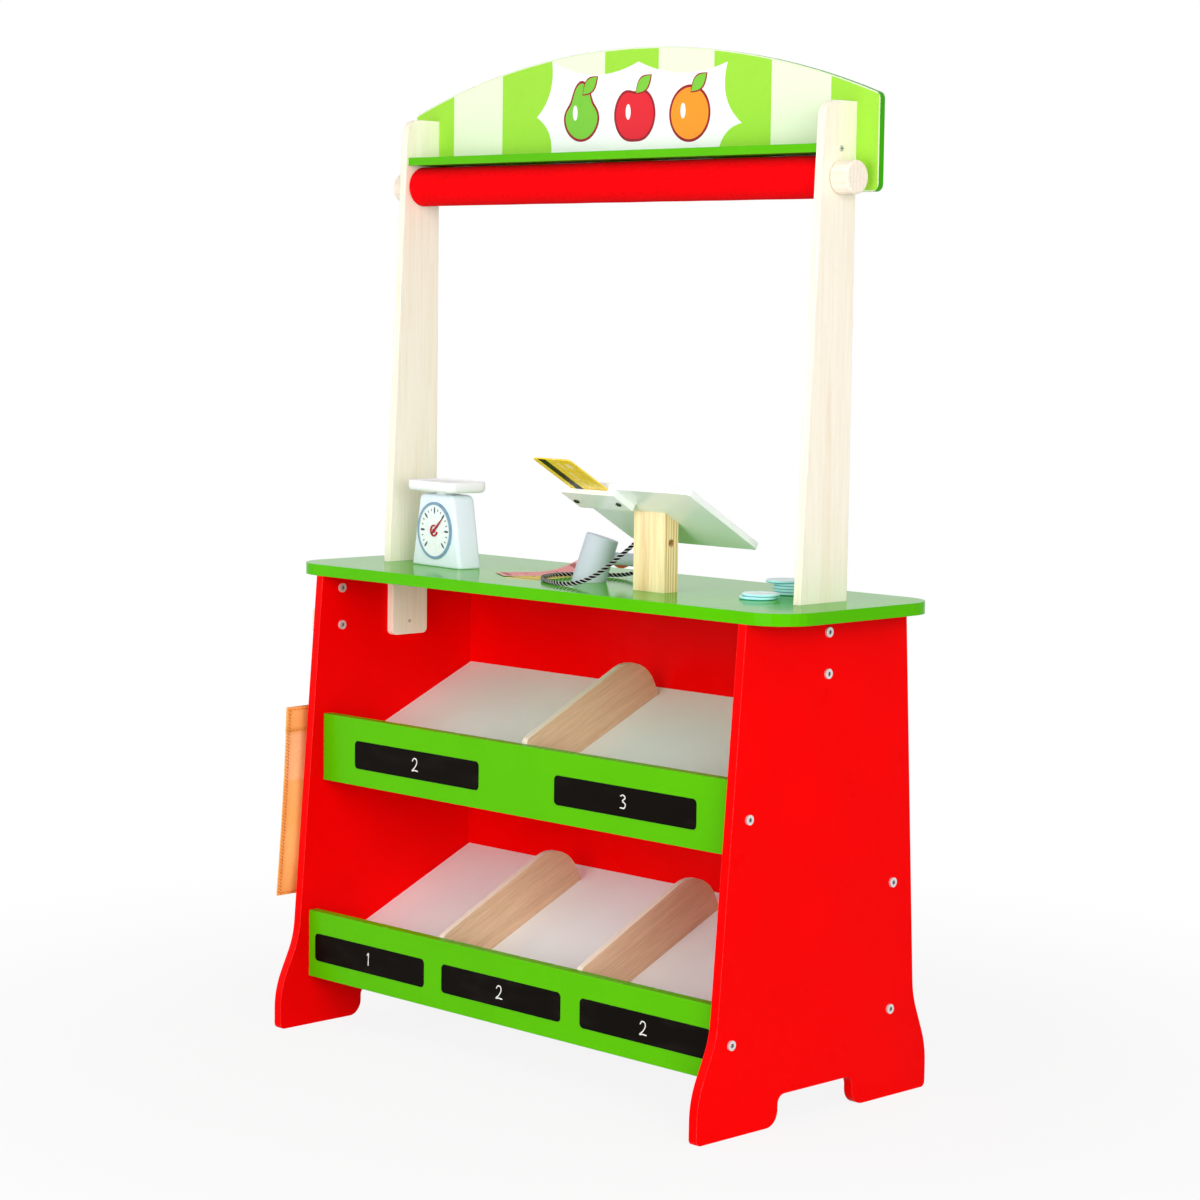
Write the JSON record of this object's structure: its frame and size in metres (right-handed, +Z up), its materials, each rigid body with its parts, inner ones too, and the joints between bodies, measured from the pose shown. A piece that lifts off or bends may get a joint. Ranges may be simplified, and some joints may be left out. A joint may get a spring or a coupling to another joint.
{
  "type": "toy market stall",
  "caption": "Child-size market stall: counter on flared side panels, sloping bins with price boards, arched sign on posts, rolled curtain, till, scanner, scale and hanging bag.",
  "frame": {"origin": "on the floor in the middle of the feet, below the middle of the counter's width", "axes": "+Z up, -Y to the buyer's side (front), +X to the right for someone who faces the front"},
  "size_m": [0.776, 0.362, 1.128],
  "materials": {
    "green_board": "smooth lacquer",
    "red_board": "smooth lacquer",
    "white_board": "satin lacquer",
    "maple": "clear satin varnish",
    "birch_ply": "clear satin varnish",
    "slate_paint": "matt chalkboard paint",
    "sign_print": "striped print under satin lacquer",
    "steel": "zinc plated",
    "dark_steel": "blackened",
    "red_felt": "wool felt",
    "pine": "clear varnish",
    "white_paint": "gloss lacquer",
    "card_print": "printed, gloss",
    "rope_fibre": "twisted black and white strands",
    "grey_paint": "satin lacquer",
    "trigger_paint": "satin lacquer",
    "mint_paint": "satin lacquer",
    "dial_print": "printed face with a blue rim",
    "pointer_red": "gloss",
    "coin_paint": "gloss lacquer",
    "yellow_paper": "printed paper",
    "pink_paper": "printed paper",
    "orange_cloth": "non-woven cloth"
  },
  "bodies": {
    "stall": {"counter_top": "green_board", "upper_bin_front": "green_board", "lower_bin_front": "green_board", "top_rail": "green_board", "left_side_panel": "red_board", "right_side_panel": "red_board", "back_panel": "red_board", "upper_shelf": "white_board", "lower_shelf": "white_board", "left_post": "maple", "right_post": "maple", "bag_hook": "maple", "counter_pegs": "maple", "upper_divider": "birch_ply", "lower_divider_left": "birch_ply", "lower_divider_right": "birch_ply", "upper_price_boards": "slate_paint", "lower_price_boards": "slate_paint", "sign_board": "sign_print", "side_bolts": "steel", "hook_bolts": "steel", "sign_screws": "steel", "rail_screws": "steel", "divider_screws": "steel", "till_screws": "steel", "reader_screws": "dark_steel", "till_post": "pine", "rope_plug": "pine", "till_panel": "white_paint", "card_reader": "white_paint", "scanner_rope": "rope_fibre"},
    "curtain_roller": {"curtain_dowel": "maple", "left_knob": "maple", "right_knob": "maple", "rolled_curtain": "red_felt"},
    "card": {"payment_card": "card_print"},
    "scanner": {"scanner_head": "grey_paint", "scanner_handle": "grey_paint", "scanner_trigger": "trigger_paint"},
    "scale": {"scale_body": "mint_paint", "scale_dial": "dial_print", "scale_pan": "white_paint"},
    "scale_hand": {"scale_pointer": "pointer_red"},
    "front_coins": {"front_coin_stack": "coin_paint"},
    "back_coins": {"back_coin_stack": "coin_paint"},
    "notes": {"lower_note": "yellow_paper", "upper_note": "pink_paper"},
    "bag": {"shopping_bag": "orange_cloth", "bag_straps": "orange_cloth"}
  },
  "joints": [
    {"name": "curtain_turn", "type": "hinge", "parent": "stall", "child": "curtain_roller", "pos_m": [0, 0.0215, 0.97898], "axis": [1, 0, 0], "continuous": true},
    {"name": "card_slide", "type": "slide", "parent": "stall", "child": "card", "axis": [0, -0.866, 0.5], "range_m": [0, 0.04]},
    {"name": "bag_swing", "type": "hinge", "parent": "stall", "child": "bag", "pos_m": [-0.355, -0.0915, 0.4683], "axis": [0, 1, 0], "range_deg": [0, 35]},
    {"name": "scale_lift", "type": "slide", "parent": "stall", "child": "scale", "axis": [0, 0, 1], "range_m": [0, 0.08]},
    {"name": "pointer_turn", "type": "hinge", "parent": "scale", "child": "scale_hand", "pos_m": [-0.23378, -0.0299, 0.582], "axis": [-0.1115, -0.9938, 0], "continuous": true},
    {"name": "scanner_lift", "type": "slide", "parent": "stall", "child": "scanner", "axis": [-0.1858, 0.1559, 0.9701], "range_m": [0, 0.06], "deforming": ["scanner_rope"]},
    {"name": "front_coins_lift", "type": "slide", "parent": "stall", "child": "front_coins", "axis": [0, 0, 1], "range_m": [0, 0.05]},
    {"name": "back_coins_lift", "type": "slide", "parent": "stall", "child": "back_coins", "axis": [0, 0, 1], "range_m": [0, 0.05]},
    {"name": "notes_slide", "type": "slide", "parent": "stall", "child": "notes", "axis": [-1, 0, 0], "range_m": [0, 0.04]}
  ]
}
